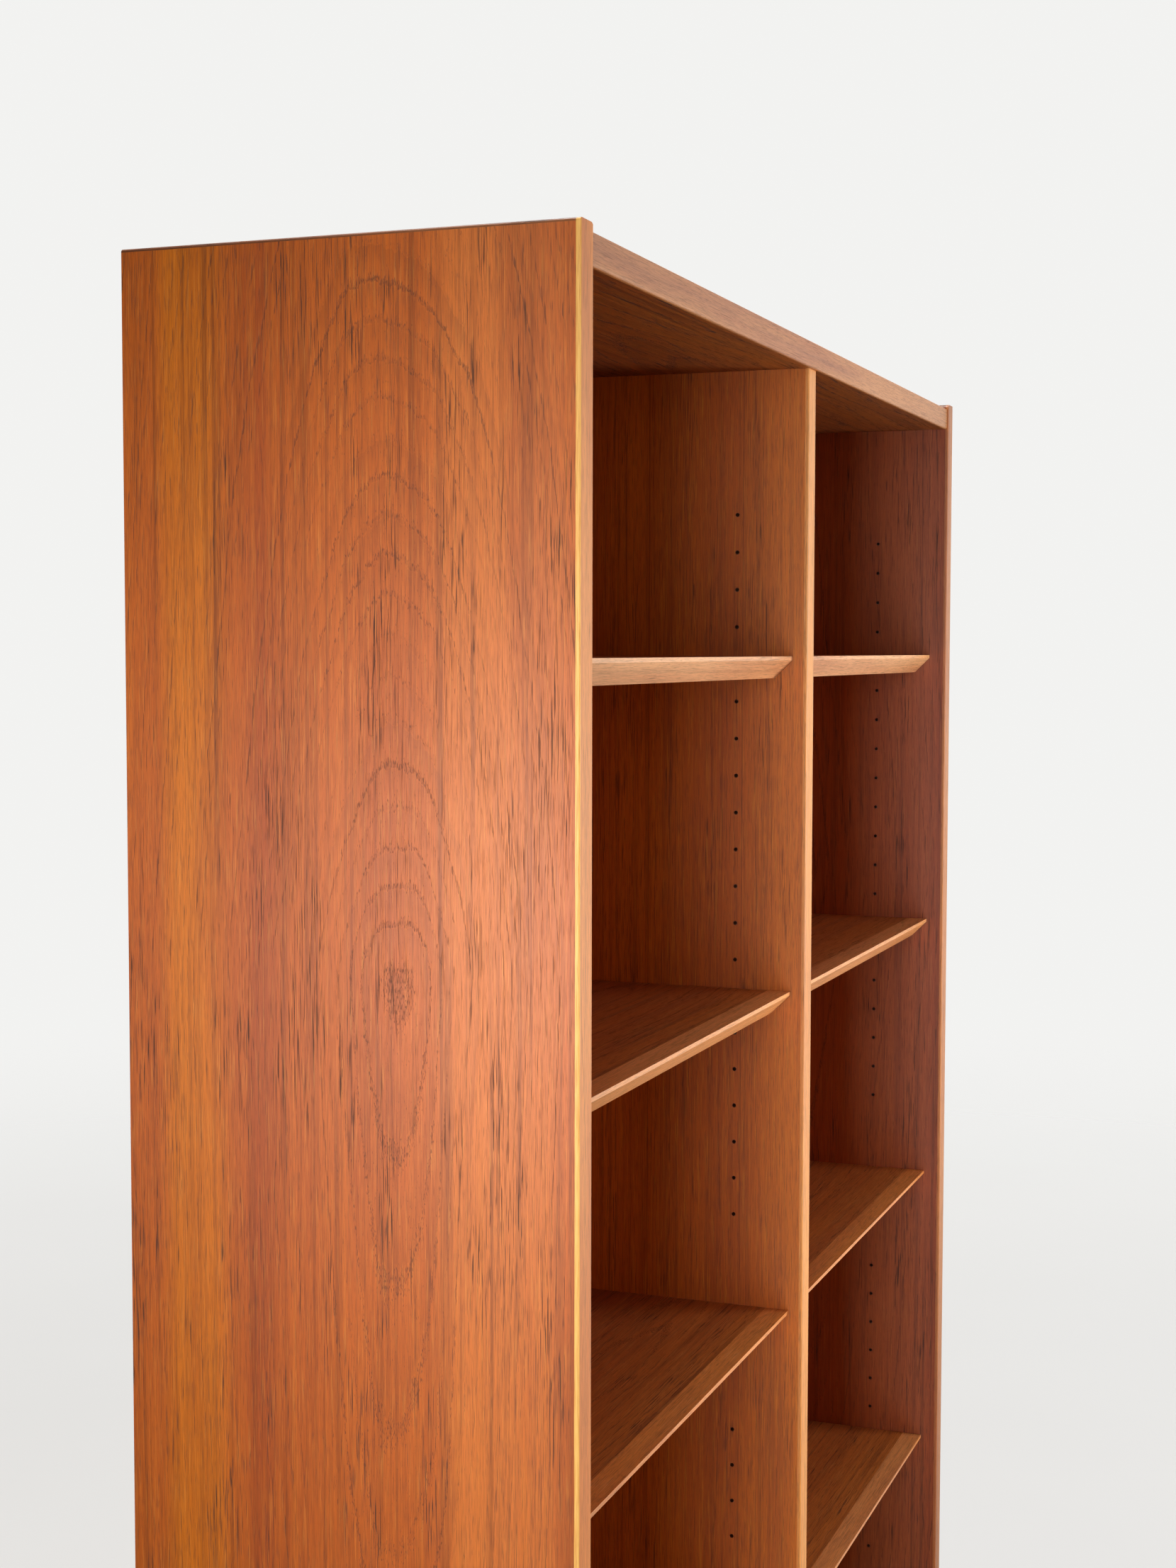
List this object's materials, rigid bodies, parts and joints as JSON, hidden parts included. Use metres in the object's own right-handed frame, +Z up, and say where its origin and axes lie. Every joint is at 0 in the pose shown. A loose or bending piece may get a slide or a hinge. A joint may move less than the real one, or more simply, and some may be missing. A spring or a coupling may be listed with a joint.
{
  "type": "bookcase with adjustable shelves",
  "caption": "Tall double-bay teak bookcase with solid lipped edges, fixed middle shelves and bevel-nosed shelves that slide on hidden wires.",
  "frame": {"origin": "on the floor, at the centre of the bookcase's footprint", "axes": "+X to the right seen from the front, +Y to the back (the front faces -Y), +Z up"},
  "size_m": [1.063, 0.305, 1.66],
  "materials": {
    "teak_veneer": "oiled teak veneer, open grain, low sheen",
    "shelf_veneer": "oiled teak veneer with the grain along the shelf",
    "solid_teak": "oiled solid teak lipping with eased edges",
    "back_plywood": "thin plywood, lightly sealed",
    "beech_rail": "planed beech, unfinished",
    "beech_dowel": "plain beech dowel",
    "support_wire": "drawn steel wire, zinc grey",
    "panel_pin": "dull steel nail head"
  },
  "bodies": {
    "case": {"left_side": "teak_veneer", "right_side": "teak_veneer", "divider": "teak_veneer", "top_board": "teak_veneer", "bottom_board": "teak_veneer", "left_side_lipping": "solid_teak", "right_side_lipping": "solid_teak", "divider_lipping": "solid_teak", "top_board_lipping": "solid_teak", "bottom_board_lipping": "solid_teak", "left_side_top_lipping": "solid_teak", "right_side_top_lipping": "solid_teak", "kick_board": "teak_veneer", "rear_rail": "beech_rail", "left_back_panel": "back_plywood", "right_back_panel": "back_plywood", "left_fixed_shelf": "shelf_veneer", "right_fixed_shelf": "shelf_veneer", "left_fixed_shelf_nose": "solid_teak", "right_fixed_shelf_nose": "solid_teak", "left_wires_1": "support_wire", "left_wires_2": "support_wire", "left_wires_4": "support_wire", "left_wires_5": "support_wire", "right_wires_1": "support_wire", "right_wires_2": "support_wire", "right_wires_4": "support_wire", "right_wires_5": "support_wire", "top_dowels": "beech_dowel", "bottom_dowels": "beech_dowel", "divider_dowels": "beech_dowel", "fixed_shelf_dowels": "beech_dowel", "kick_dowels": "beech_dowel", "left_back_pins": "panel_pin", "right_back_pins": "panel_pin"},
    "left_shelf_1": {"left_shelf_1": "shelf_veneer", "left_shelf_1_nose": "solid_teak"},
    "left_shelf_2": {"left_shelf_2": "shelf_veneer", "left_shelf_2_nose": "solid_teak"},
    "left_shelf_4": {"left_shelf_4": "shelf_veneer", "left_shelf_4_nose": "solid_teak"},
    "left_shelf_5": {"left_shelf_5": "shelf_veneer", "left_shelf_5_nose": "solid_teak"},
    "right_shelf_1": {"right_shelf_1": "shelf_veneer", "right_shelf_1_nose": "solid_teak"},
    "right_shelf_2": {"right_shelf_2": "shelf_veneer", "right_shelf_2_nose": "solid_teak"},
    "right_shelf_4": {"right_shelf_4": "shelf_veneer", "right_shelf_4_nose": "solid_teak"},
    "right_shelf_5": {"right_shelf_5": "shelf_veneer", "right_shelf_5_nose": "solid_teak"}
  },
  "joints": [
    {"name": "left_shelf_1_slide", "type": "slide", "parent": "case", "child": "left_shelf_1", "axis": [0, -1, 0], "range_m": [0, 0.2]},
    {"name": "left_shelf_2_slide", "type": "slide", "parent": "case", "child": "left_shelf_2", "axis": [0, -1, 0], "range_m": [0, 0.2]},
    {"name": "left_shelf_4_slide", "type": "slide", "parent": "case", "child": "left_shelf_4", "axis": [0, -1, 0], "range_m": [0, 0.2]},
    {"name": "left_shelf_5_slide", "type": "slide", "parent": "case", "child": "left_shelf_5", "axis": [0, -1, 0], "range_m": [0, 0.2]},
    {"name": "right_shelf_1_slide", "type": "slide", "parent": "case", "child": "right_shelf_1", "axis": [0, -1, 0], "range_m": [0, 0.2]},
    {"name": "right_shelf_2_slide", "type": "slide", "parent": "case", "child": "right_shelf_2", "axis": [0, -1, 0], "range_m": [0, 0.2]},
    {"name": "right_shelf_4_slide", "type": "slide", "parent": "case", "child": "right_shelf_4", "axis": [0, -1, 0], "range_m": [0, 0.2]},
    {"name": "right_shelf_5_slide", "type": "slide", "parent": "case", "child": "right_shelf_5", "axis": [0, -1, 0], "range_m": [0, 0.2]}
  ]
}
